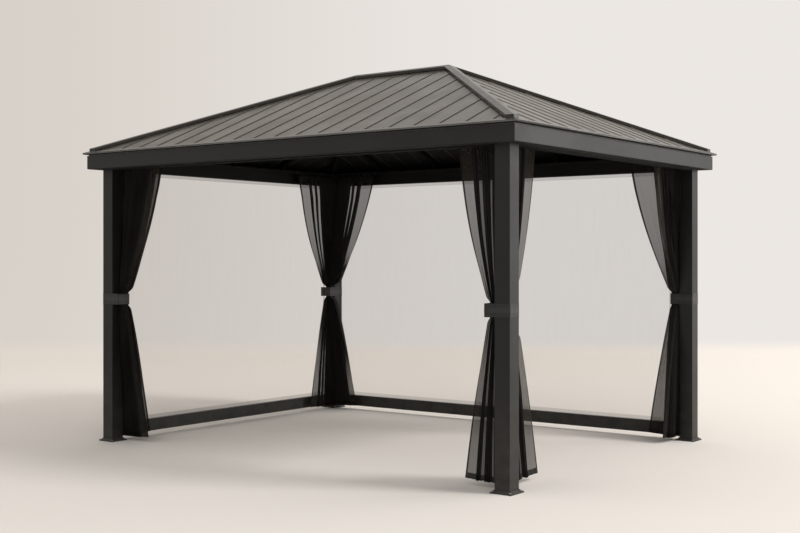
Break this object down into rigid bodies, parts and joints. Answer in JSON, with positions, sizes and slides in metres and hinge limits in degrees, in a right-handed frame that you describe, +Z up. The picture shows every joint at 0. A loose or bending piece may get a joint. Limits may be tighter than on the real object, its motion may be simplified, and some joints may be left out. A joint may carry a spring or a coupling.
{
  "type": "hardtop gazebo",
  "caption": "Rectangular metal gazebo with square posts, hipped ribbed roof, fascia, tied-back sheer curtains and net walls on two sides.",
  "frame": {"origin": "on the floor under the middle of the roof", "axes": "+Z up, +X along the ridge, the open long side faces -Y"},
  "size_m": [3.9, 3, 2.87],
  "materials": {
    "frame": "matt charcoal powder coat",
    "roof_sheet": "satin grey-brown coated steel sheet",
    "roof_cap": "satin dark coated steel sheet",
    "roof_frame": "matt dark powder coat",
    "track": "dark satin",
    "curtain": "sheer black polyester",
    "net": "fine sheer net",
    "tie_band": "charcoal webbing"
  },
  "bodies": {
    "root": {"bottom_rail_back": "frame", "bottom_rail_left": "frame", "curtain_tie_back_left": "tie_band", "curtain_tie_back_right": "tie_band", "curtain_tie_front_left": "tie_band", "curtain_tie_front_right": "tie_band", "curtain_tracks": "track", "curtains_back_left": "curtain", "curtains_back_right": "curtain", "curtains_front_left": "curtain", "curtains_front_right": "curtain", "eave_trim": "frame", "fascia_back": "frame", "fascia_front": "frame", "fascia_left": "frame", "fascia_right": "frame", "header_back": "frame", "header_front": "frame", "header_left": "frame", "header_right": "frame", "hip_cap_back_left": "roof_cap", "hip_cap_back_right": "roof_cap", "hip_cap_front_left": "roof_cap", "hip_cap_front_right": "roof_cap", "hip_rafters": "roof_frame", "net_back": "net", "net_left": "net", "post_back_left": "frame", "post_back_right": "frame", "post_base_back_left": "frame", "post_base_back_right": "frame", "post_base_front_left": "frame", "post_base_front_right": "frame", "post_front_left": "frame", "post_front_right": "frame", "rafters_back": "roof_frame", "rafters_front": "roof_frame", "rafters_left": "roof_frame", "rafters_right": "roof_frame", "ridge_beam": "roof_frame", "ridge_cap": "roof_cap", "roof_panel_back": "roof_sheet", "roof_panel_front": "roof_sheet", "roof_panel_left": "roof_sheet", "roof_panel_right": "roof_sheet"}
  },
  "joints": []
}
